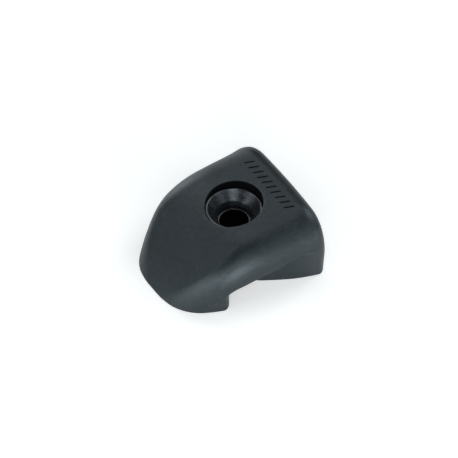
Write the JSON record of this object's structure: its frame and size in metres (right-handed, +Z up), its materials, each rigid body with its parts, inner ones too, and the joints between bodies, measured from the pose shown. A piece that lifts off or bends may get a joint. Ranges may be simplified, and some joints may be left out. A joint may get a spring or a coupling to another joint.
{
  "type": "cleat horn",
  "caption": "Black moulded cleat horn with a rope throat under both lips and a countersunk metal bush in its vertical screw hole.",
  "frame": {"origin": "middle of the deck face's bounding rectangle, on the deck plane", "axes": "+X from the nose to the straight base end, +Z up out of the deck, +Y to the left when looking along +X; the body is the same on both sides of the XZ plane"},
  "size_m": [0.036, 0.0334, 0.0167],
  "materials": {
    "black_nylon": "fibre filled nylon moulding, fine satin spark texture",
    "blackened_steel": "turned and blackened, fine concentric tool marks"
  },
  "bodies": {
    "root": {"horn_body": "black_nylon", "screw_seat_bush": "blackened_steel"}
  },
  "joints": []
}
